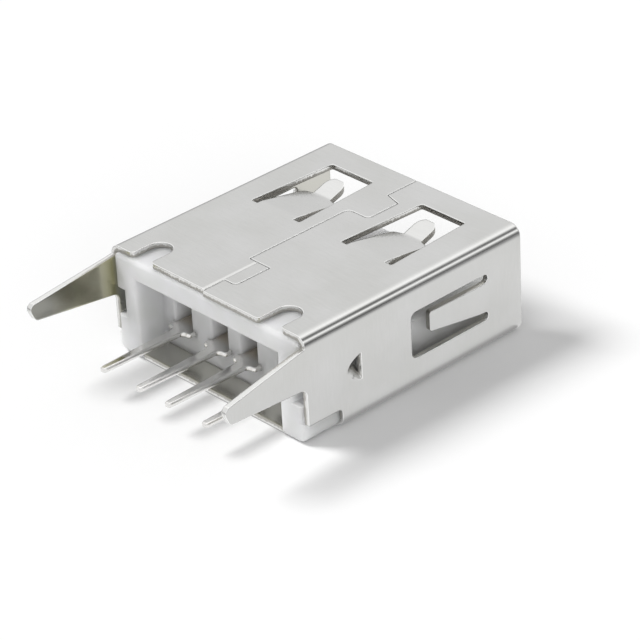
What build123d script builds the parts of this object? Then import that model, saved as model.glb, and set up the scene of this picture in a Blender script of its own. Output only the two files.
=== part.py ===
from build123d import *
import os

os.makedirs("parts", exist_ok=True)

# A straight socket for a flat rectangular plug, in millimetres. X runs across it, Y from the
# board to the mouth, and Z from the lower wide wall to the wall with the folding seam.
# The origin is in the board's surface, on the centre line, level with the lower wall's outside.

# Shell: one folded sheet round the plug's opening
opening_width = 12.54
opening_height = 5.04
sheet = 0.28
bend_radius = 0.55
shell_length = 13.7
seat_standoff = 0.15

# Seam where the sheet's two ends lock together
seam_gap = 0.06
seam_rear_gap = 0.1
seam_rear_x = 0.0
seam_middle_x = -0.58
seam_front_x = -0.2
lock_reach = 0.76
rear_lock_start = 1.2
rear_lock_length = 2.1
front_lock_start = 9.55
front_lock_length = 1.95
lock_round = 0.28
lock_corner = 0.07
crease_width = 0.14
crease_depth = 0.05

# Notches in the seam wall's rear edge
notch_x = 4.37
notch_width = 1.3
notch_depth = 1.75
notch_flare = 0.22

# Springs in the wide walls, rooted towards the board
spring_x = 3.05
spring_root = 7.15
window_length = 5.08
window_root_width = 3.33
window_front_width = 2.83
spring_slot = 0.42
spring_dip = 0.44
spring_reach = 3.0
spring_neck = 0.15
spring_shoulder_round = 0.35
tab_length = 1.25
tab_width = 1.17
tab_rise = 0.4
window_corner = 0.1

# Springs in the narrow walls, rooted towards the mouth
side_window_start = 6.5
side_window_length = 4.77
side_window_height = 2.45
side_window_corner = 0.35
side_slot = 0.46
side_spring_length = 3.22
side_spring_dip = 0.36
side_spring_taper = 0.26

# Tooth pressed inward from each narrow wall, which holds the insulator
tooth_start = 2.45
tooth_length = 0.9
tooth_height = 1.42
tooth_depth = 0.4
tooth_drop = 0.07

# Soldering legs in the narrow walls
leg_length = 5.1
leg_root_bottom = 3.0
leg_tip_bottom = 3.47
leg_tip_top = 4.3
leg_tip_slant = 0.35
leg_tip_round = 0.3
leg_root_fillet = 0.4
leg_splay = 0.25

# Insulator: moulded block with a contact tongue and two feet
fit_gap = 0.02
block_depth = 4.95
frame_reach = 1.65
recess_width = 9.66
recess_top = 4.25
foot_depth = 2.2
foot_height = 1.05
foot_inset = 0.18
foot_rise = 0.06
foot_round = 0.45
foot_edge = 0.22
foot_corner = 0.25
block_edge = 0.22
recess_edge = 0.15
tongue_gap = 0.66
tongue_thickness = 1.84
tongue_width = 11.1
tongue_setback = 0.5
tongue_chamfer = 0.35
groove_depth = 0.66
slot_top = 3.6
slot_edge = 0.12

# Contacts: four stamped strips
strip = 0.25
contact_z = 1.5
outer_contact_x = 3.5
inner_contact_x = 1.0
contact_gap = 0.04
tail_length = 3.4
tail_tip_width = 0.38
tail_root_width = 0.66
tail_coining = 0.06
shoulder_y = 1.25
shoulder_round = 0.2
body_width = 1.6
body_end = 4.4
beam_width = 1.0
beam_tip_width = 0.6
beam_gap = 0.05
beam_start = 5.1
beam_crest_from_tip = 2.6
beam_tip_setback = 1.15
beam_crest_above_tongue = 0.3
beam_tip_below_tongue = 0.75
groove_end_web = 0.45

# Sizes that follow from the ones above
shell_width = opening_width + 2 * sheet
shell_height = opening_height + 2 * sheet
middle_z = shell_height / 2
rear_y = seat_standoff
mouth_y = rear_y + shell_length
wall_x = (shell_width - sheet) / 2
wide_wall_z = shell_height - sheet / 2
inner_bend = bend_radius - sheet
leg_root_top = shell_height - bend_radius
relief_inside = recess_width / 2 - fit_gap
relief_top = foot_height + fit_gap
relief_depth = foot_depth + fit_gap
tongue_bottom = sheet + tongue_gap
tongue_top = tongue_bottom + tongue_thickness
tongue_tip_y = mouth_y - tongue_setback
beam_tip_y = tongue_tip_y - beam_tip_setback
through = 2 * sheet


# Window that a spring of a wide wall is cut from, narrower towards the mouth
with BuildSketch() as window:
    with BuildLine():
        Polyline(
            (-window_root_width / 2, 0),
            (window_root_width / 2, 0),
            (window_front_width / 2, window_length),
            (-window_front_width / 2, window_length),
            close=True,
        )
    make_face()
    fillet(window.vertices(), window_corner)

# Spring of a wide wall: it slopes into the opening and its narrow tip turns back out
spring_root_y = rear_y + spring_root
ridge_y = spring_root_y + spring_reach
tab_end_y = ridge_y + tab_length
body_root_half = window_root_width / 2 - spring_slot
narrowing = (window_root_width - window_front_width) / 2
body_front_half = body_root_half - narrowing * (spring_reach - spring_neck) / window_length

with BuildPart() as wide_spring:
    with BuildSketch(Plane.YZ) as strip_section:
        with BuildLine():
            FilletPolyline(
                (spring_root_y - sheet, wide_wall_z),
                (spring_root_y + sheet, wide_wall_z),
                (ridge_y, wide_wall_z - spring_dip),
                (tab_end_y, wide_wall_z - spring_dip + tab_rise),
                radius=[2 * sheet, 2 * sheet],
            )
        trace(line_width=sheet)
    extrude(amount=window_root_width / 2, both=True)
    with BuildSketch(Plane.XY.offset(shell_height - spring_dip - through)) as strip_outline:
        with BuildLine():
            outline = Polyline(
                (0, spring_root_y - sheet),
                (body_root_half, spring_root_y - sheet),
                (body_root_half, spring_root_y),
                (body_front_half, ridge_y - spring_neck),
                (tab_width / 2, ridge_y),
                (tab_width / 2, tab_end_y),
                (0, tab_end_y),
            )
            mirror(outline, about=Plane.YZ)
        make_face()
        tab_corners = strip_outline.vertices().group_by(Axis.Y)[-1].sort_by(Axis.X)
        fillet([tab_corners[0], tab_corners[-1]], tab_width / 2 - 0.02)
        shoulders = strip_outline.vertices().filter_by(
            lambda vertex: abs(vertex.Y - ridge_y + spring_neck) < spring_neck / 2)
        fillet(shoulders, spring_shoulder_round)
    extrude(amount=spring_dip + 2 * through, mode=Mode.INTERSECT)

# Spring of a narrow wall: it slopes into the opening from its root near the mouth
side_window_start_y = rear_y + side_window_start
side_root_y = side_window_start_y + side_window_length
side_tip_y = side_root_y - side_spring_length
side_root_half = side_window_height / 2 - side_slot

with BuildPart() as side_spring:
    with BuildSketch(Plane.XY.offset(middle_z)):
        with BuildLine():
            FilletPolyline(
                (wall_x, side_root_y + sheet),
                (wall_x, side_root_y - sheet),
                (wall_x - side_spring_dip, side_tip_y),
                radius=2 * sheet,
            )
        trace(line_width=sheet)
    extrude(amount=side_root_half, both=True)
    with BuildSketch(Plane.YZ) as side_outline:
        with BuildLine():
            outline = Polyline(
                (side_tip_y - sheet, middle_z + side_root_half - side_spring_taper),
                (side_root_y, middle_z + side_root_half),
                (side_root_y + sheet, middle_z + side_root_half),
                (side_root_y + sheet, middle_z - side_root_half),
                (side_root_y, middle_z - side_root_half),
                (side_tip_y - sheet, middle_z - side_root_half + side_spring_taper),
                close=True,
            )
        make_face()
    extrude(amount=shell_width / 2, mode=Mode.INTERSECT)
    tip_corners = side_spring.faces().sort_by(Axis.Y)[0].edges().filter_by(Axis.X, tolerance=20)
    fillet(tip_corners, side_slot / 3)

# Round punch that presses a tooth in from the wall's outside, deeper towards the mouth, where
# the sheet is sheared. The tooth is the same shape, one sheet further in.
tooth_y = rear_y + tooth_start
tooth_z = middle_z - tooth_drop
tooth_slope = (-tooth_depth, tooth_length, 0)
tooth_run = (tooth_depth**2 + tooth_length**2) ** 0.5
punch_radius = (tooth_height**2 / 4 + tooth_depth**2) / (2 * tooth_depth)

with BuildPart() as punch:
    with BuildSketch(Plane.XZ.offset(-tooth_y)):
        with Locations((shell_width / 2 + punch_radius, tooth_z)):
            Circle(punch_radius)
    extrude(amount=tooth_run, dir=tooth_slope)

with BuildPart() as tooth:
    with Locations((-sheet, 0, 0)):
        add(punch.part)
    split(bisect_by=Plane.YZ.offset(wall_x), keep=Keep.BOTTOM)

# Soldering leg: a flat arm of the narrow wall, splayed a little and tapered to a blunt tip
leg_tip_y = rear_y - leg_length

with BuildPart() as leg:
    with BuildSketch(Plane.XY.offset(middle_z)):
        with BuildLine():
            FilletPolyline(
                (wall_x, rear_y + leg_root_fillet),
                (wall_x, rear_y - leg_root_fillet),
                (wall_x + leg_splay, leg_tip_y),
                radius=2 * sheet,
            )
        trace(line_width=sheet)
    extrude(amount=shell_height / 2, both=True)
    with BuildSketch(Plane.YZ) as leg_outline:
        with BuildLine():
            Polyline(
                (rear_y, leg_root_top),
                (leg_tip_y, leg_tip_top),
                (leg_tip_y + leg_tip_slant, leg_tip_bottom),
                (rear_y, leg_root_bottom),
                close=True,
            )
        make_face()
        tip_corners = leg_outline.vertices().sort_by(Axis.X)[:2]
        fillet(tip_corners, leg_tip_round)
        with Locations((rear_y, (relief_top + leg_root_top) / 2)):
            Rectangle(leg_root_fillet, leg_root_top - relief_top, align=(Align.MIN, Align.CENTER))
        inner_corner = leg_outline.vertices().sort_by_distance((rear_y, leg_root_bottom))[0]
        fillet(inner_corner, leg_root_fillet)
    extrude(amount=shell_width, mode=Mode.INTERSECT)

# Room that the sheet leaves for a foot of the insulator
with BuildPart() as relief:
    with BuildSketch(Plane.YZ.offset(relief_inside)) as relief_outline:
        with Locations((-sheet, -sheet)):
            Rectangle(relief_depth + sheet, relief_top + sheet, align=Align.MIN)
        front_corner = relief_outline.vertices().sort_by_distance((relief_depth, relief_top))[0]
        fillet(front_corner, foot_corner + fit_gap)
    extrude(amount=shell_width / 2)

# Shell: the folded tube, cut and pressed like the real sheet
with BuildPart() as shell:
    with BuildSketch(Plane.XZ.offset(-mouth_y)):
        with Locations((0, middle_z)):
            RectangleRounded(shell_width, shell_height, bend_radius)
            RectangleRounded(opening_width, opening_height, inner_bend, mode=Mode.SUBTRACT)
    extrude(amount=shell_length)

    # The half of the seam wall on the +X side reaches down to the board
    with BuildSketch(Plane.XY.offset(shell_height)):
        with Locations((seam_rear_x, 0)):
            Rectangle(notch_x, rear_y, align=Align.MIN)
    extrude(amount=-sheet)

    # Notches either side of the seam wall's middle, flared where they open
    with BuildSketch(Plane.XY.offset(shell_height)) as notches:
        Rectangle(shell_width, sheet, align=(Align.CENTER, Align.MAX))
        with Locations((-notch_x, 0), (notch_x, 0)):
            Rectangle(notch_width, rear_y + notch_depth - notch_width / 2, align=(Align.CENTER, Align.MIN))
        with Locations((-notch_x, rear_y + notch_depth - notch_width / 2),
                       (notch_x, rear_y + notch_depth - notch_width / 2)):
            Circle(notch_width / 2)
    extrude(amount=-through, mode=Mode.SUBTRACT)
    notch_corners = shell.edges().filter_by(Axis.Z).filter_by(
        lambda edge: edge.center().Z > middle_z and edge.center().Y < rear_y + sheet
        and abs(abs(edge.center().X) - notch_x) < notch_width)
    fillet(notch_corners, notch_flare)

    # The jigsaw seam
    rear_lock_y = rear_y + rear_lock_start
    front_lock_y = rear_y + front_lock_start
    with BuildSketch(Plane.XY.offset(shell_height)):
        with BuildLine():
            FilletPolyline(
                (seam_rear_x, -sheet),
                (seam_rear_x, rear_lock_y),
                (lock_reach, rear_lock_y),
                (lock_reach, rear_lock_y + rear_lock_length),
                (seam_middle_x, rear_lock_y + rear_lock_length),
                (seam_middle_x, front_lock_y),
                (lock_reach, front_lock_y),
                (lock_reach, front_lock_y + front_lock_length),
                (seam_front_x, front_lock_y + front_lock_length + lock_round),
                (seam_front_x, mouth_y + sheet),
                radius=[lock_corner, lock_round, lock_corner, lock_corner,
                        lock_round, lock_round, lock_corner, lock_corner],
            )
        trace(line_width=seam_gap)
        with Locations((seam_rear_x, -sheet)):
            Rectangle(seam_rear_gap, rear_lock_y + sheet, align=(Align.CENTER, Align.MIN))
    extrude(amount=-through, mode=Mode.SUBTRACT)

    # Crease that runs on from the seam's rear part, where the rear lock was pressed flat
    crease_x = seam_rear_x - seam_rear_gap / 2
    with BuildSketch(Plane.XZ):
        with BuildLine():
            Polyline(
                (crease_x - crease_width, shell_height),
                (crease_x, shell_height - crease_depth),
                (crease_x + crease_depth, shell_height),
                close=True,
            )
        make_face()
    extrude(amount=-rear_lock_y - rear_lock_length + seam_gap, mode=Mode.SUBTRACT)

    # Windows and springs of the wide walls
    with BuildSketch(Plane.XY.offset(shell_height + sheet)):
        with Locations((-spring_x, spring_root_y), (spring_x, spring_root_y)):
            add(window.sketch)
    extrude(amount=-shell_height - 2 * sheet, mode=Mode.SUBTRACT)
    with Locations((-spring_x, 0, 0), (spring_x, 0, 0)):
        add(wide_spring.part)
    with Locations((-spring_x, 0, 0), (spring_x, 0, 0)):
        add(wide_spring.part.mirror(Plane.XY.offset(middle_z)))

    # Windows and springs of the narrow walls, with round ends to the slots beside each root
    with BuildSketch(Plane.YZ) as side_windows:
        with Locations((side_window_start_y + side_window_length / 2, middle_z)):
            Rectangle(side_window_length, side_window_height)
        rear_corners = side_windows.vertices().group_by(Axis.X)[0]
        fillet(rear_corners, side_window_corner)
        with Locations((side_root_y, middle_z + (side_window_height - side_slot) / 2),
                       (side_root_y, middle_z - (side_window_height - side_slot) / 2)):
            Circle(side_slot / 2)
    extrude(amount=shell_width, both=True, mode=Mode.SUBTRACT)
    add(side_spring.part)
    add(side_spring.part.mirror(Plane.YZ))

    # Clearance for the insulator's feet at the two lower corners
    add(relief.part, mode=Mode.SUBTRACT)
    add(relief.part.mirror(Plane.YZ), mode=Mode.SUBTRACT)

    # Teeth that hold the insulator
    add(tooth.part)
    add(tooth.part.mirror(Plane.YZ))
    add(punch.part, mode=Mode.SUBTRACT)
    add(punch.part.mirror(Plane.YZ), mode=Mode.SUBTRACT)

    # Soldering legs
    add(leg.part)
    add(leg.part.mirror(Plane.YZ))

shell.part.label = "shell"
export_step(shell.part, "parts/shell.step")

# Foot of the insulator, which fills a lower corner of the shell
with BuildPart() as foot:
    with BuildSketch(Plane.YZ.offset(recess_width / 2)) as foot_outline:
        with Locations((0, foot_rise)):
            Rectangle(foot_depth, foot_height - foot_rise, align=Align.MIN)
        front_corner = foot_outline.vertices().sort_by_distance((foot_depth, foot_height))[0]
        fillet(front_corner, foot_corner)
    extrude(amount=(shell_width - recess_width) / 2 - foot_inset)
    outer_side = foot.faces().sort_by(Axis.X)[-1]
    fillet(outer_side.edges().filter_by(Axis.Y).sort_by(Axis.Z)[0], foot_round)
    rear_side = foot.faces().sort_by(Axis.Y)[0]
    fillet(rear_side.edges().filter_by(Axis.Z).sort_by(Axis.X)[-1], foot_edge)

# Recess in the insulator's rear, which leaves a bar above and a wall each side. Its inner
# corners are round, and it flares where it opens, with room to spare behind and below.
with BuildPart() as recess:
    with BuildSketch(Plane.XZ.offset(-frame_reach)):
        with Locations((0, -sheet)):
            Rectangle(recess_width, recess_top + sheet, align=(Align.CENTER, Align.MIN))
    extrude(amount=frame_reach)
    fillet(recess.edges().filter_by(Axis.Z).group_by(Axis.Y)[-1], recess_edge)
    with BuildSketch(Plane.XZ):
        with Locations((0, -sheet)):
            Rectangle(2 * shell_width, 2 * shell_height, align=(Align.CENTER, Align.MIN))
    extrude(amount=sheet)
    rim = recess.edges().filter_by(
        lambda edge: abs(edge.center().Y) < fit_gap and abs(edge.center().X) < opening_width / 2
        and -fit_gap < edge.center().Z < recess_top + fit_gap)
    fillet(rim, recess_edge)

# Insulator: a block that fills the rear of the shell, with a tongue and two feet
with BuildPart() as insulator:
    with BuildSketch(Plane.XZ.offset(-block_depth)):
        with Locations((0, middle_z)):
            RectangleRounded(opening_width - 2 * fit_gap, opening_height - 2 * fit_gap, inner_bend)
    extrude(amount=block_depth)
    rear_edges = insulator.faces().sort_by(Axis.Y)[0].edges()
    fillet(rear_edges, block_edge)

    add(foot.part)
    add(foot.part.mirror(Plane.YZ))

    add(recess.part, mode=Mode.SUBTRACT)

    # Grooves that pass the shell's teeth and stop just beyond them
    groove_end_y = rear_y + tooth_start + tooth_length + contact_gap
    with BuildSketch(Plane.XZ.offset(-groove_end_y)):
        with Locations((opening_width / 2 - groove_depth, tooth_z)):
            Rectangle(shell_width, tooth_height + 2 * contact_gap, align=(Align.MIN, Align.CENTER))
        mirror(about=Plane.YZ)
    extrude(amount=groove_end_y, mode=Mode.SUBTRACT)

    # Tongue with a sloped lead at its tip
    with BuildSketch(Plane.YZ):
        with BuildLine():
            Polyline(
                (block_depth, tongue_bottom),
                (tongue_tip_y, tongue_bottom),
                (tongue_tip_y, tongue_top - tongue_chamfer),
                (tongue_tip_y - tongue_chamfer, tongue_top),
                (block_depth, tongue_top),
                close=True,
            )
        make_face()
    extrude(amount=tongue_width / 2, both=True)

    # Passages for the contacts: wide and low for the body, tall and narrow for the sprung beam
    contact_places = [-outer_contact_x, -inner_contact_x, inner_contact_x, outer_contact_x]
    passage_bottom = contact_z - strip / 2 - contact_gap
    with BuildSketch(Plane.XZ.offset(-block_depth)):
        with Locations([(x, passage_bottom) for x in contact_places]):
            Rectangle(body_width + 2 * contact_gap, strip + 2 * contact_gap, align=(Align.CENTER, Align.MIN))
            Rectangle(beam_width + 2 * beam_gap, slot_top - passage_bottom, align=(Align.CENTER, Align.MIN))
    extrude(amount=block_depth, mode=Mode.SUBTRACT)
    slot_edges = insulator.edges().filter_by(Axis.Z).filter_by(
        lambda edge: abs(edge.center().Y - frame_reach) < fit_gap and edge.center().Z > contact_z + strip)
    fillet(slot_edges, slot_edge)

    # Grooves in the tongue under the sprung beams
    groove_tip_y = tongue_tip_y - groove_end_web
    with BuildSketch(Plane.XY.offset(passage_bottom)):
        with Locations([(x, block_depth) for x in contact_places]):
            Rectangle(beam_width + 2 * beam_gap, groove_tip_y - block_depth, align=(Align.CENTER, Align.MIN))
    extrude(amount=tongue_thickness, mode=Mode.SUBTRACT)

insulator.part.label = "insulator"
export_step(insulator.part, "parts/insulator.step")

# Contacts: a straight tail for the board, a wide body held in the block and an arched beam
crest_y = beam_tip_y - beam_crest_from_tip
crest_z = tongue_top + beam_crest_above_tongue - strip / 2
beam_tip_z = tongue_top - beam_tip_below_tongue

with BuildPart() as strip_blank:
    with BuildSketch(Plane.YZ):
        with BuildLine():
            FilletPolyline(
                (-tail_length, contact_z),
                (beam_start, contact_z),
                (crest_y, crest_z),
                (beam_tip_y, beam_tip_z),
                radius=[4 * strip, 6 * strip],
            )
        trace(line_width=strip)
    extrude(amount=body_width / 2, both=True)
    with BuildSketch(Plane.XY) as blank_outline:
        with BuildLine():
            outline = Polyline(
                (0, -tail_length),
                (tail_tip_width / 2, -tail_length),
                (tail_root_width / 2, shoulder_y),
                (body_width / 2, shoulder_y),
                (body_width / 2, body_end),
                (beam_width / 2, body_end + (body_width - beam_width) / 2),
                (beam_width / 2, crest_y),
                (beam_tip_width / 2, beam_tip_y),
                (0, beam_tip_y),
            )
            mirror(outline, about=Plane.YZ)
        make_face()
        shoulders = blank_outline.vertices().filter_by(
            lambda vertex: abs(vertex.Y - shoulder_y) < strip)
        fillet(shoulders, shoulder_round)
        tail_tip = blank_outline.vertices().group_by(Axis.Y)[0].filter_by(
            lambda vertex: abs(vertex.X) > tail_coining)
        fillet(tail_tip, tail_tip_width / 2 - 0.02)
    extrude(amount=shell_height, mode=Mode.INTERSECT)
    tail_edges = strip_blank.edges().filter_by(lambda edge: edge.bounding_box().max.Y < shoulder_y)
    chamfer(tail_edges, tail_coining)

for name, place in zip(
    ("power_contact", "data_minus_contact", "data_plus_contact", "ground_contact"),
    contact_places,
):
    with BuildPart() as contact:
        with Locations((place, 0, 0)):
            add(strip_blank.part)
    contact.part.label = name
    export_step(contact.part, f"parts/{name}.step")
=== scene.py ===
import math

import bpy
import numpy as np
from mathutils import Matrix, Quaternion, Vector


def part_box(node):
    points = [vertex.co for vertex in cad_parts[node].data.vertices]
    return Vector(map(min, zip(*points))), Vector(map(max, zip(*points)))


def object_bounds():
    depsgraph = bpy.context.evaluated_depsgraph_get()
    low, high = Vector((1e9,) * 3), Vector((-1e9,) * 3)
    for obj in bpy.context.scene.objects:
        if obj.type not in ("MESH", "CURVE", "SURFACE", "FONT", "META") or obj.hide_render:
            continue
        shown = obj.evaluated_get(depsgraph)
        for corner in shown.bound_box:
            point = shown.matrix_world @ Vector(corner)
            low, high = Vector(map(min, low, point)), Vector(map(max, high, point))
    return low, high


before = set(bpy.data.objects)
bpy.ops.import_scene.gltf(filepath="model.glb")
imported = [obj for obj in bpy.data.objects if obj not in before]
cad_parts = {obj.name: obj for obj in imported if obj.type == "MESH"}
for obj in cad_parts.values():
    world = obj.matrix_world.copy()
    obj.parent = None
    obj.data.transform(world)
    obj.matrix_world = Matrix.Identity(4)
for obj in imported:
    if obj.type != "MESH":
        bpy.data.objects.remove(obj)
cad_low, cad_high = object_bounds()

# Shell
# One strip of cold-rolled steel, 0.28 mm thick, blanked, pierced and folded round a mandrel until
# its ends lock in a jigsaw seam. It is barrel-plated with satin nickel after the blanking, so the
# plate is thin and dull on the torn part of each cut. Its edges are worn and painted with a bright
# highlight.


def linear(code):
    """The linear colour of an sRGB hex code.

    A channel up to 0.04045 is divided by 12.92. A higher one has 0.055 added to it, is divided by
    1.055 and is raised to the power of 2.4.
    """
    channels = np.array([int(code[start:start + 2], 16) / 255 for start in (1, 3, 5)])
    low = channels / 12.92
    high = ((channels + 0.055) / 1.055) ** 2.4
    return (*np.where(channels <= 0.04045, low, high), 1.0)


def add_node(tree, kind, settings=None, stops=(), **inputs):
    """Adds a node with its settings, its ramp's stops and its inputs, by name or by number as in_2.

    An input that is given a socket is linked to it, one that is given a node is linked to the
    node's first output, and any other value is set on the input. A ramp's stops go from low to
    high.
    """
    new = tree.nodes.new(kind)
    for name, value in (settings or {}).items():
        setattr(new, name, value)
    for number, (position, colour) in enumerate(stops):
        elements = new.color_ramp.elements
        element = elements[number] if number < len(elements) else elements.new(position)
        element.position = position
        element.color = colour
    for name, value in inputs.items():
        key = int(name[3:]) if name.startswith("in_") else name.replace("_", " ")
        if isinstance(value, bpy.types.Node):
            value = value.outputs[0]
        if isinstance(value, bpy.types.NodeSocket):
            tree.links.new(value, new.inputs[key])
        else:
            new.inputs[key].default_value = value
    return new


def empty_material(name):
    """A material with an empty node tree, and that tree."""
    made = bpy.data.materials.new(name)
    made.use_nodes = True
    made.node_tree.nodes.clear()
    return made, made.node_tree


mm = 0.001
sheet = 0.28 * mm
fold_radius = 0.55 * mm
half_width = 6.55 * mm
shell_low, shell_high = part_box("shell")
half_height = (shell_high[2] - shell_low[2]) / 2

# Satin nickel over rolled steel gives a soft mirror, with faint clouds, fine lines along the strip,
# worn edges with a painted highlight, a painted shade inside, and cuts that are half burnished and
# half torn.
steel, tree = empty_material("nickel_plated_steel")

# How far a point lies under the outside of the folded tube: the distance to a rounded rectangle
place = add_node(tree, "ShaderNodeTexCoord").outputs["Object"]
centred = add_node(tree, "ShaderNodeVectorMath", {"operation": "SUBTRACT"}, in_0=place,
                   in_1=(0, 0, half_height))
spread = add_node(tree, "ShaderNodeVectorMath", {"operation": "ABSOLUTE"}, in_0=centred)
spread = add_node(tree, "ShaderNodeSeparateXYZ", Vector=spread)
past_side = add_node(tree, "ShaderNodeMath", {"operation": "SUBTRACT"}, in_0=spread.outputs["X"],
                     in_1=half_width - fold_radius)
past_flat = add_node(tree, "ShaderNodeMath", {"operation": "SUBTRACT"}, in_0=spread.outputs["Z"],
                     in_1=half_height - fold_radius)
nearer = add_node(tree, "ShaderNodeMath", {"operation": "MAXIMUM"}, in_0=past_side, in_1=past_flat)
nearer = add_node(tree, "ShaderNodeMath", {"operation": "MINIMUM"}, in_0=nearer, in_1=0.0)
round_side = add_node(tree, "ShaderNodeMath", {"operation": "MAXIMUM"}, in_0=past_side, in_1=0.0)
round_flat = add_node(tree, "ShaderNodeMath", {"operation": "MAXIMUM"}, in_0=past_flat, in_1=0.0)
corner = add_node(tree, "ShaderNodeCombineXYZ", X=round_side, Y=round_flat)
corner = add_node(tree, "ShaderNodeVectorMath", {"operation": "LENGTH"}, in_0=corner)
reach = add_node(tree, "ShaderNodeMath", {"operation": "ADD"}, in_0=corner.outputs["Value"],
                 in_1=nearer)
depth = add_node(tree, "ShaderNodeMath", {"operation": "SUBTRACT"}, in_0=fold_radius, in_1=reach)

# Which faces are cut through the sheet: those that turn about 60 degrees or more from its outside,
# as cosines. On a narrow wall, counted deep enough for its tooth and spring, the outside faces
# sideways.
side_depth = 3.4 * sheet
turned_out = 0.62
turned_off = 0.42
facing = add_node(tree, "ShaderNodeNewGeometry").outputs["True Normal"]
turned = add_node(tree, "ShaderNodeVectorMath", {"operation": "ABSOLUTE"}, in_0=facing)
turned = add_node(tree, "ShaderNodeSeparateXYZ", Vector=turned)
at_side = add_node(tree, "ShaderNodeMath", {"operation": "GREATER_THAN"}, in_0=spread.outputs["X"],
                   in_1=half_width - side_depth)
not_flat = add_node(tree, "ShaderNodeMath", {"operation": "LESS_THAN"}, in_0=past_flat, in_1=0.0)
only_side = add_node(tree, "ShaderNodeMath", {"operation": "MULTIPLY"}, in_0=at_side, in_1=not_flat)
may_be_flat = add_node(tree, "ShaderNodeMath", {"operation": "SUBTRACT"}, in_0=1.0, in_1=only_side)
out_side = add_node(tree, "ShaderNodeMath", {"operation": "MULTIPLY"}, in_0=turned.outputs["X"],
                    in_1=at_side)
out_flat = add_node(tree, "ShaderNodeMath", {"operation": "MULTIPLY"}, in_0=turned.outputs["Z"],
                    in_1=may_be_flat)
outward = add_node(tree, "ShaderNodeMath", {"operation": "MAXIMUM"}, in_0=out_side, in_1=out_flat)
cut = add_node(tree, "ShaderNodeMapRange", {"interpolation_type": "SMOOTHSTEP"}, Value=outward,
               From_Min=turned_out, From_Max=turned_off)

# Clouds 3 mm wide, specks of 0.1 mm, and rolling lines along the strip, which was folded across the
# socket. The lines are drawn 0.05 mm wide, coarse enough to show. Noise mostly stays between its
# low and high, and a cloud changes its tone between its own.
cloud_width = 3.03 * mm
speck_width = 0.1111 * mm
line_width = 0.05 * mm
line_squeeze = 0.06
line_dark = 0.975
line_light = 1.015
noise_low = 0.3
noise_high = 0.7
cloud_low = 0.35
cloud_high = 0.65
cloud = add_node(tree, "ShaderNodeTexNoise", Vector=place, Scale=1 / cloud_width, Detail=3.0)
speck = add_node(tree, "ShaderNodeTexNoise", Vector=place, Scale=1 / speck_width, Detail=1.0)
strip_way = add_node(tree, "ShaderNodeVectorMath", {"operation": "MULTIPLY"}, in_0=place,
                     in_1=(line_squeeze, 1, line_squeeze))
rolled = add_node(tree, "ShaderNodeTexNoise", Vector=strip_way, Scale=1 / line_width, Detail=2.0)
plate = add_node(tree, "ShaderNodeValToRGB", Fac=cloud,
                 stops=((cloud_low, linear("#CECECC")), (cloud_high, linear("#D3D3D2"))))
line_shade = add_node(tree, "ShaderNodeMapRange", Value=rolled, From_Min=noise_low,
                      From_Max=noise_high, To_Min=line_dark, To_Max=line_light)
shaded = add_node(tree, "ShaderNodeVectorMath", {"operation": "SCALE"}, in_0=plate,
                  Scale=line_shade)

# The inside of the tube and the inner faces of the legs are darker and warmer: a painted shade and
# painted reflection, olive at the legs' roots and dull grey at their tips. Its tones are given by
# millimetres above the board.
inner_reach = 1.5 * mm
tones_start = 2.0
tones_end = -4.8
inner_shade_tones = ((0.3, "#CDCCC5"), (-0.11, "#B6B38E"), (-0.86, "#BFBDA9"), (-2.22, "#BFBDA9"),
               (-3.78, "#989892"))
section = add_node(tree, "ShaderNodeVectorMath", {"operation": "MULTIPLY"}, in_0=centred,
                   in_1=(1, 0, 1))
inward = add_node(tree, "ShaderNodeVectorMath", {"operation": "DOT_PRODUCT"}, in_0=section,
                  in_1=facing)
inside = add_node(tree, "ShaderNodeMath", {"operation": "LESS_THAN"}, in_0=inward.outputs["Value"],
                  in_1=-inner_reach)
along = add_node(tree, "ShaderNodeSeparateXYZ", Vector=place)
to_tips = add_node(tree, "ShaderNodeMapRange", Value=along.outputs["Y"], From_Min=tones_start * mm,
                   From_Max=tones_end * mm)
painted_inner_shade = add_node(tree, "ShaderNodeValToRGB", Fac=to_tips,
                      stops=[((tones_start - above_board) / (tones_start - tones_end), linear(code))
                             for above_board, code in inner_shade_tones])
with_painted_inner_shade = add_node(tree, "ShaderNodeMix", {"data_type": "RGBA"}, in_0=inside, in_6=shaded,
                in_7=painted_inner_shade)

# A cut is bright where the punch sheared it and dull where the sheet tore. The two meet at a ragged
# line half way through, and the tear's streaks, 0.06 mm wide, run through the wide walls' sheet.
tear_width = 0.0625 * mm
tear_squeeze = 0.12
tear_sway = 0.2 * sheet
sheared_to = 0.4 * sheet
torn_from = 0.6 * sheet
through = add_node(tree, "ShaderNodeVectorMath", {"operation": "MULTIPLY"}, in_0=place,
                   in_1=(1, 1, tear_squeeze))
tear = add_node(tree, "ShaderNodeTexNoise", Vector=through, Scale=1 / tear_width, Detail=2.0)
ragged = add_node(tree, "ShaderNodeMapRange", Value=tear, From_Min=noise_low, From_Max=noise_high,
                  To_Min=-tear_sway, To_Max=tear_sway)
torn_depth = add_node(tree, "ShaderNodeMath", {"operation": "ADD"}, in_0=depth, in_1=ragged)
torn = add_node(tree, "ShaderNodeMapRange", Value=torn_depth, From_Min=sheared_to,
                From_Max=torn_from)
cut_colour = add_node(tree, "ShaderNodeMix", {"data_type": "RGBA"}, in_0=torn,
                      in_6=linear("#E2E2E0"), in_7=linear("#BDBBB6"))
with_cuts = add_node(tree, "ShaderNodeMix", {"data_type": "RGBA"}, in_0=cut, in_6=with_painted_inner_shade.outputs[2],
                     in_7=cut_colour.outputs[2])
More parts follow.
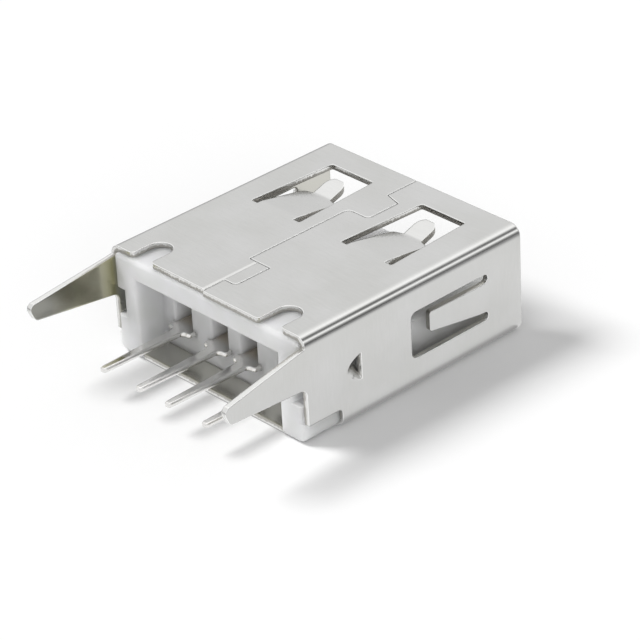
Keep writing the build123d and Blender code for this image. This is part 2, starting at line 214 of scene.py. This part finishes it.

# Edges are rounded and polished by the tumbling barrel, and painted with a pale highlight, but not
# where the sheet tore. An edge begins where the rounding turns a face by 6 degrees and is fully
# highlighted from 32, as cosines.
edge_round = 0.09 * mm
edge_begins = 0.995
edge_bright = 0.85
rounding = add_node(tree, "ShaderNodeBevel", {"samples": 8}, Radius=edge_round)
likeness = add_node(tree, "ShaderNodeVectorMath", {"operation": "DOT_PRODUCT"}, in_0=rounding,
                    in_1=facing)
edge = add_node(tree, "ShaderNodeMapRange", Value=likeness.outputs["Value"], From_Min=edge_begins,
                From_Max=edge_bright)
untorn = add_node(tree, "ShaderNodeMath", {"operation": "SUBTRACT"}, in_0=1.0, in_1=torn)
worn_edge_highlight = add_node(tree, "ShaderNodeMath", {"operation": "MULTIPLY"}, in_0=edge, in_1=untorn)
colour = add_node(tree, "ShaderNodeMix", {"data_type": "RGBA"}, in_0=worn_edge_highlight,
                  in_6=with_cuts.outputs[2], in_7=linear("#F6F6F5"))

# The plate's gloss varies with its clouds, a torn cut is nearly matt, and the lines and specks are
# under a thousandth of a millimetre deep
grain_depth = 0.0006 * mm
plate_roughness = (0.14, 0.2)
cut_roughness = (0.2, 0.6)
satin = add_node(tree, "ShaderNodeMapRange", Value=cloud, From_Min=noise_low, From_Max=noise_high,
                 To_Min=plate_roughness[0], To_Max=plate_roughness[1])
cut_gloss = add_node(tree, "ShaderNodeMapRange", Value=torn, To_Min=cut_roughness[0],
                     To_Max=cut_roughness[1])
roughness = add_node(tree, "ShaderNodeMix", in_0=cut, in_2=satin, in_3=cut_gloss)
grain = add_node(tree, "ShaderNodeMath", {"operation": "ADD"}, in_0=rolled, in_1=speck)
relief = add_node(tree, "ShaderNodeBump", Strength=0.25, Distance=grain_depth, Height=grain,
                  Normal=rounding)
gloss = add_node(tree, "ShaderNodeBsdfPrincipled", Base_Color=colour.outputs[2], Metallic=1.0,
                 Roughness=roughness, Normal=relief)
add_node(tree, "ShaderNodeOutputMaterial", Surface=gloss)

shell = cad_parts["shell"]
shell.material_slots[0].material = steel

# Insulator
# White glass-filled nylon, moulded in one shot and pushed into the shell from the board's end
# until the shell's teeth snap into its side grooves.

# Moulded nylon is half matt and lets light in by about 2 mm, which softens its shade. Its clouds
# are 1.4 mm wide, and the mould's fine texture is drawn at 0.08 mm.
resin, tree = empty_material("white_moulded_nylon")
nylon_cloud_width = 1.429 * mm
mould_grain_width = 0.08333 * mm
mould_grain_depth = 0.002 * mm
mould_edge_round = 0.09 * mm
light_reach = 1.8 * mm
nylon_roughness = (0.38, 0.5)
place = add_node(tree, "ShaderNodeTexCoord").outputs["Object"]
cloud = add_node(tree, "ShaderNodeTexNoise", Vector=place, Scale=1 / nylon_cloud_width, Detail=2.0)
tone = add_node(tree, "ShaderNodeValToRGB", Fac=cloud,
                stops=((cloud_low, linear("#D2D3D2")), (cloud_high, linear("#D8D8DA"))))
grain = add_node(tree, "ShaderNodeTexNoise", Vector=place, Scale=1 / mould_grain_width, Detail=2.0)
haze = add_node(tree, "ShaderNodeMapRange", Value=grain, From_Min=noise_low, From_Max=noise_high,
                To_Min=nylon_roughness[0], To_Max=nylon_roughness[1])
rounding = add_node(tree, "ShaderNodeBevel", {"samples": 8}, Radius=mould_edge_round)
relief = add_node(tree, "ShaderNodeBump", Strength=0.3, Distance=mould_grain_depth, Height=grain,
                  Normal=rounding)
body = add_node(tree, "ShaderNodeBsdfPrincipled", Base_Color=tone, Roughness=haze, IOR=1.53,
                Subsurface_Weight=1.0, Subsurface_Radius=(1.0, 1.0, 1.0),
                Subsurface_Scale=light_reach, Normal=relief)
add_node(tree, "ShaderNodeOutputMaterial", Surface=body)

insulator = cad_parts["insulator"]
insulator.material_slots[0].material = resin

# Contacts
# Phosphor bronze strip, 0.25 mm thick, stamped with a straight tail, a wide body and an arched
# beam, and tinned at the tail, which is soldered to the board. Each is pressed into its slot in the
# nylon.

# Plated tin is a pale, fairly bright mirror with fine grain, drawn at 0.06 mm. Its edges look round
# and are painted with a pale highlight. It ends 1.9 mm above the board, and bare bronze shows
# behind it.
tin, tree = empty_material("tinned_phosphor_bronze")
tin_end = 1.9 * mm
tin_fade = 0.3 * mm
tin_cloud_width = 0.667 * mm
tin_grain_width = 0.0625 * mm
tin_grain_depth = 0.001 * mm
tin_edge_round = 0.12 * mm
tin_edge_begins = 0.95
tin_edge_pale = 0.7
tin_roughness = (0.14, 0.22)
place = add_node(tree, "ShaderNodeTexCoord").outputs["Object"]
along = add_node(tree, "ShaderNodeSeparateXYZ", Vector=place)
bare = add_node(tree, "ShaderNodeMapRange", {"interpolation_type": "SMOOTHSTEP"},
                Value=along.outputs["Y"], From_Min=tin_end - tin_fade, From_Max=tin_end + tin_fade)
cloud = add_node(tree, "ShaderNodeTexNoise", Vector=place, Scale=1 / tin_cloud_width, Detail=3.0)
tin_tone = add_node(tree, "ShaderNodeValToRGB", Fac=cloud,
                    stops=((cloud_low, linear("#E6E5E3")), (cloud_high, linear("#EFEEEC"))))
metal = add_node(tree, "ShaderNodeMix", {"data_type": "RGBA"}, in_0=bare, in_6=tin_tone,
                 in_7=linear("#E3DACD"))
rounding = add_node(tree, "ShaderNodeBevel", {"samples": 8}, Radius=tin_edge_round)
facing = add_node(tree, "ShaderNodeNewGeometry").outputs["True Normal"]
likeness = add_node(tree, "ShaderNodeVectorMath", {"operation": "DOT_PRODUCT"}, in_0=rounding,
                    in_1=facing)
edge = add_node(tree, "ShaderNodeMapRange", Value=likeness.outputs["Value"],
                From_Min=tin_edge_begins, From_Max=tin_edge_pale)
colour = add_node(tree, "ShaderNodeMix", {"data_type": "RGBA"}, in_0=edge, in_6=metal.outputs[2],
                  in_7=linear("#F6F5F3"))
matt = add_node(tree, "ShaderNodeMapRange", Value=cloud, From_Min=noise_low, From_Max=noise_high,
                To_Min=tin_roughness[0], To_Max=tin_roughness[1])
grain = add_node(tree, "ShaderNodeTexNoise", Vector=place, Scale=1 / tin_grain_width, Detail=2.0)
relief = add_node(tree, "ShaderNodeBump", Strength=0.3, Distance=tin_grain_depth, Height=grain,
                  Normal=rounding)
gloss = add_node(tree, "ShaderNodeBsdfPrincipled", Base_Color=colour.outputs[2], Metallic=1.0,
                 Roughness=matt, Normal=relief)
add_node(tree, "ShaderNodeOutputMaterial", Surface=gloss)

for name in ("power_contact", "data_minus_contact", "data_plus_contact", "ground_contact"):
    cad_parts[name].material_slots[0].material = tin

# Table, light and camera
# A white card on a table under an even soft light, with a large lamp high at the left and a weak
# low one at the right, as in a catalogue picture.

# The table lies a hair under the part, so that no two faces share a plane
table_half = 1.5
table_top = -0.02 * mm
corners = [(x * table_half, y * table_half, table_top)
           for x, y in ((-1, -1), (1, -1), (1, 1), (-1, 1))]
floor_mesh = bpy.data.meshes.new("table")
floor_mesh.from_pydata(corners, [], [(0, 1, 2, 3)])
table = bpy.data.objects.new("table", floor_mesh)
bpy.context.collection.objects.link(table)

# The card is matt white. Metal sees it as a glowing white, with a painted shade under the tube and
# close to its long sides, and a painted pool of light that fades further away.
paper, tree = empty_material("white_card")
even_share = 0.85
tube_start = 0.15 * mm
tube_half = (cad_high[1] - tube_start) / 2
shade_width = 0.9 * mm
shade_level = 0.45
shade_end_sharpness = 10
light_ends = 8 * mm
light_gone = 26 * mm
far_level = 0.3
path = add_node(tree, "ShaderNodeLightPath")
card = add_node(tree, "ShaderNodeBsdfDiffuse", Color=linear("#F6F6F6"))
mirrored = add_node(tree, "ShaderNodeMath", {"operation": "MAXIMUM"},
                    in_0=path.outputs["Is Glossy Ray"], in_1=path.outputs["Is Transmission Ray"])
mirrored = add_node(tree, "ShaderNodeMath", {"operation": "MULTIPLY"}, in_0=mirrored,
                    in_1=even_share)
spot = add_node(tree, "ShaderNodeTexCoord").outputs["Object"]
away = add_node(tree, "ShaderNodeVectorMath", {"operation": "SUBTRACT"}, in_0=spot,
                in_1=(0, tube_start + tube_half, 0))
away = add_node(tree, "ShaderNodeVectorMath", {"operation": "ABSOLUTE"}, in_0=away)
away = add_node(tree, "ShaderNodeVectorMath", {"operation": "SUBTRACT"}, in_0=away,
                in_1=(half_width, tube_half, 0))
beside = add_node(tree, "ShaderNodeVectorMath", {"operation": "MULTIPLY"}, in_0=away,
                  in_1=(1, shade_end_sharpness, 0))
beside = add_node(tree, "ShaderNodeVectorMath", {"operation": "MAXIMUM"}, in_0=beside,
                  in_1=(0, 0, 0))
beside = add_node(tree, "ShaderNodeVectorMath", {"operation": "LENGTH"}, in_0=beside)
near = add_node(tree, "ShaderNodeMapRange", Value=beside.outputs["Value"], From_Min=0.0,
                From_Max=shade_width, To_Min=shade_level, To_Max=1.0)
away = add_node(tree, "ShaderNodeVectorMath", {"operation": "MAXIMUM"}, in_0=away, in_1=(0, 0, 0))
away = add_node(tree, "ShaderNodeVectorMath", {"operation": "LENGTH"}, in_0=away)
far = add_node(tree, "ShaderNodeMapRange", Value=away.outputs["Value"], From_Min=light_ends,
               From_Max=light_gone, To_Min=1.0, To_Max=far_level)
# The painted shade and painted pool of light that metal sees in the card
pool = add_node(tree, "ShaderNodeMath", {"operation": "MULTIPLY"}, in_0=near, in_1=far)
glow_with_painted_shade = add_node(tree, "ShaderNodeEmission", Color=(1, 1, 1, 1), Strength=pool)
surface = add_node(tree, "ShaderNodeMixShader", in_0=mirrored, in_1=card, in_2=glow_with_painted_shade)
add_node(tree, "ShaderNodeOutputMaterial", Surface=surface)
floor_mesh.materials.append(paper)

# The studio is white to the camera. Metal sees bright and dark strips that run along the part and
# draw the lines on its folded edge. Each level is given with its angle from straight up, in degrees
# towards the right, and is halved, because a ramp ends at 1.
levels = ((-100, 0.55), (-84, 0.6), (-76, 0.75), (-68, 0.9), (-62, 0.94), (-52, 0.95),
          (-41.5, 1.0), (-31.5, 1.07), (-21.5, 1.18), (-11.5, 1.33), (-1.5, 1.45), (6, 1.45),
          (12, 1.2), (20, 0.6), (26, 0.25), (38, 0.2), (45, 0.6), (51, 1.4), (57, 1.5), (63, 1.05),
          (70, 0.5), (78, 0.2), (100, 0.1))
halving = 2
world = bpy.data.worlds.new("studio")
bpy.context.scene.world = world
world.use_nodes = True
world.cycles.sampling_method = "NONE"
tree = world.node_tree
tree.nodes.clear()
facing = add_node(tree, "ShaderNodeTexCoord").outputs["Generated"]
parts = add_node(tree, "ShaderNodeSeparateXYZ", Vector=facing)
lean = add_node(tree, "ShaderNodeMath", {"operation": "ARCTAN2"}, in_0=parts.outputs["X"],
                in_1=parts.outputs["Z"])
turn = add_node(tree, "ShaderNodeMapRange", Value=lean, From_Min=-math.pi, From_Max=math.pi)
bands = add_node(tree, "ShaderNodeValToRGB", Fac=turn,
                 stops=[(0.5 + angle / 360, (level / halving, level / halving, level / halving, 1))
                        for angle, level in levels])

# The strips are a quarter brighter nearer to straight up, where the sloping springs see them. They
# are seen only above and beyond the mouth's end, and everywhere else metal sees one plain level.
level_gain = 1.28
gain_full = 0.2
gain_gone = 0.45
strips_middle = 0.4
strips_half = 0.25
strips_end = 0.45
plain_level = (0.95, 0.95, 0.95, 1)
overhead = add_node(tree, "ShaderNodeMapRange", Value=parts.outputs["Y"], From_Min=gain_gone,
                    From_Max=gain_full, To_Min=halving, To_Max=halving * level_gain)
strips = add_node(tree, "ShaderNodeVectorMath", {"operation": "SCALE"}, in_0=bands, Scale=overhead)
aside = add_node(tree, "ShaderNodeMath", {"operation": "SUBTRACT"}, in_0=parts.outputs["Y"],
                 in_1=strips_middle)
aside = add_node(tree, "ShaderNodeMath", {"operation": "ABSOLUTE"}, in_0=aside)
plain = add_node(tree, "ShaderNodeMapRange", {"interpolation_type": "SMOOTHSTEP"}, Value=aside,
                 From_Min=strips_half, From_Max=strips_end)
seen = add_node(tree, "ShaderNodeMix", {"data_type": "RGBA"}, in_0=plain, in_6=strips,
                in_7=plain_level)
sky = add_node(tree, "ShaderNodeBackground", Color=seen.outputs[2], Strength=1.0)

# Matt surfaces get an even light, a little stronger from both ends of the part and from the right
fill_level = 0.4
fill_from_ends = 0.22
fill_from_right = 0.15
even = add_node(tree, "ShaderNodeVectorMath", {"operation": "ABSOLUTE"}, in_0=facing)
even = add_node(tree, "ShaderNodeSeparateXYZ", Vector=even)
even = add_node(tree, "ShaderNodeMath", {"operation": "MULTIPLY_ADD"}, in_0=even.outputs["Y"],
                in_1=fill_from_ends, in_2=fill_level)
even = add_node(tree, "ShaderNodeMath", {"operation": "MULTIPLY_ADD"}, in_0=parts.outputs["X"],
                in_1=fill_from_right, in_2=even)
fill = add_node(tree, "ShaderNodeBackground", Color=(1, 1, 1, 1), Strength=even)
white = add_node(tree, "ShaderNodeBackground", Color=(1, 1, 1, 1), Strength=1.0)
path = add_node(tree, "ShaderNodeLightPath")
lit = add_node(tree, "ShaderNodeMixShader", in_0=path.outputs["Is Diffuse Ray"], in_1=sky,
               in_2=fill)
mixed = add_node(tree, "ShaderNodeMixShader", in_0=path.outputs["Is Camera Ray"], in_1=lit,
                 in_2=white)
add_node(tree, "ShaderNodeOutputWorld", Surface=mixed)

# Each lamp is as wide as a large softbox nearby, and metal doesn't mirror it, because it already
# sees the studio. Its strength, its width in degrees and the way to it:
for name, strength, width, towards in (("soft_key", 2.3, 24, (-0.55, -0.33, 0.77)),
                                       ("low_side_light", 0.6, 40, (0.85, -0.45, 0.25))):
    lamp = bpy.data.lights.new(name, "SUN")
    lamp.energy = strength
    lamp.angle = math.radians(width)
    lit_from = bpy.data.objects.new(name, lamp)
    lit_from.rotation_mode = "QUATERNION"
    lit_from.rotation_quaternion = Vector(towards).to_track_quat("Z", "Y")
    lit_from.visible_glossy = False
    bpy.context.collection.objects.link(lit_from)

# The camera has the photograph's viewing angle, found from the straight edges of the shell
azimuth = math.radians(48.102)
elevation = math.radians(30.344)
roll = math.radians(-3.177)
aim = Vector((-10.09, 16.072, -6.947)) * mm
distance = 164.061 * mm
level_share = math.cos(elevation)
towards_camera = Vector((math.sin(azimuth) * level_share, -math.cos(azimuth) * level_share,
                         math.sin(elevation)))
camera = bpy.data.objects.new("camera", bpy.data.cameras.new("camera"))
camera.location = aim + distance * towards_camera
camera.rotation_mode = "QUATERNION"
level_turn = (-towards_camera).to_track_quat("-Z", "Y")
camera.rotation_quaternion = level_turn @ Quaternion((0, 0, 1), roll)
camera.data.sensor_width = 36
camera.data.lens = 177.58
camera.data.clip_start = 0.01
camera.data.clip_end = 10
bpy.context.collection.objects.link(camera)
bpy.context.scene.camera = camera
bpy.context.scene.view_settings.view_transform = "Standard"
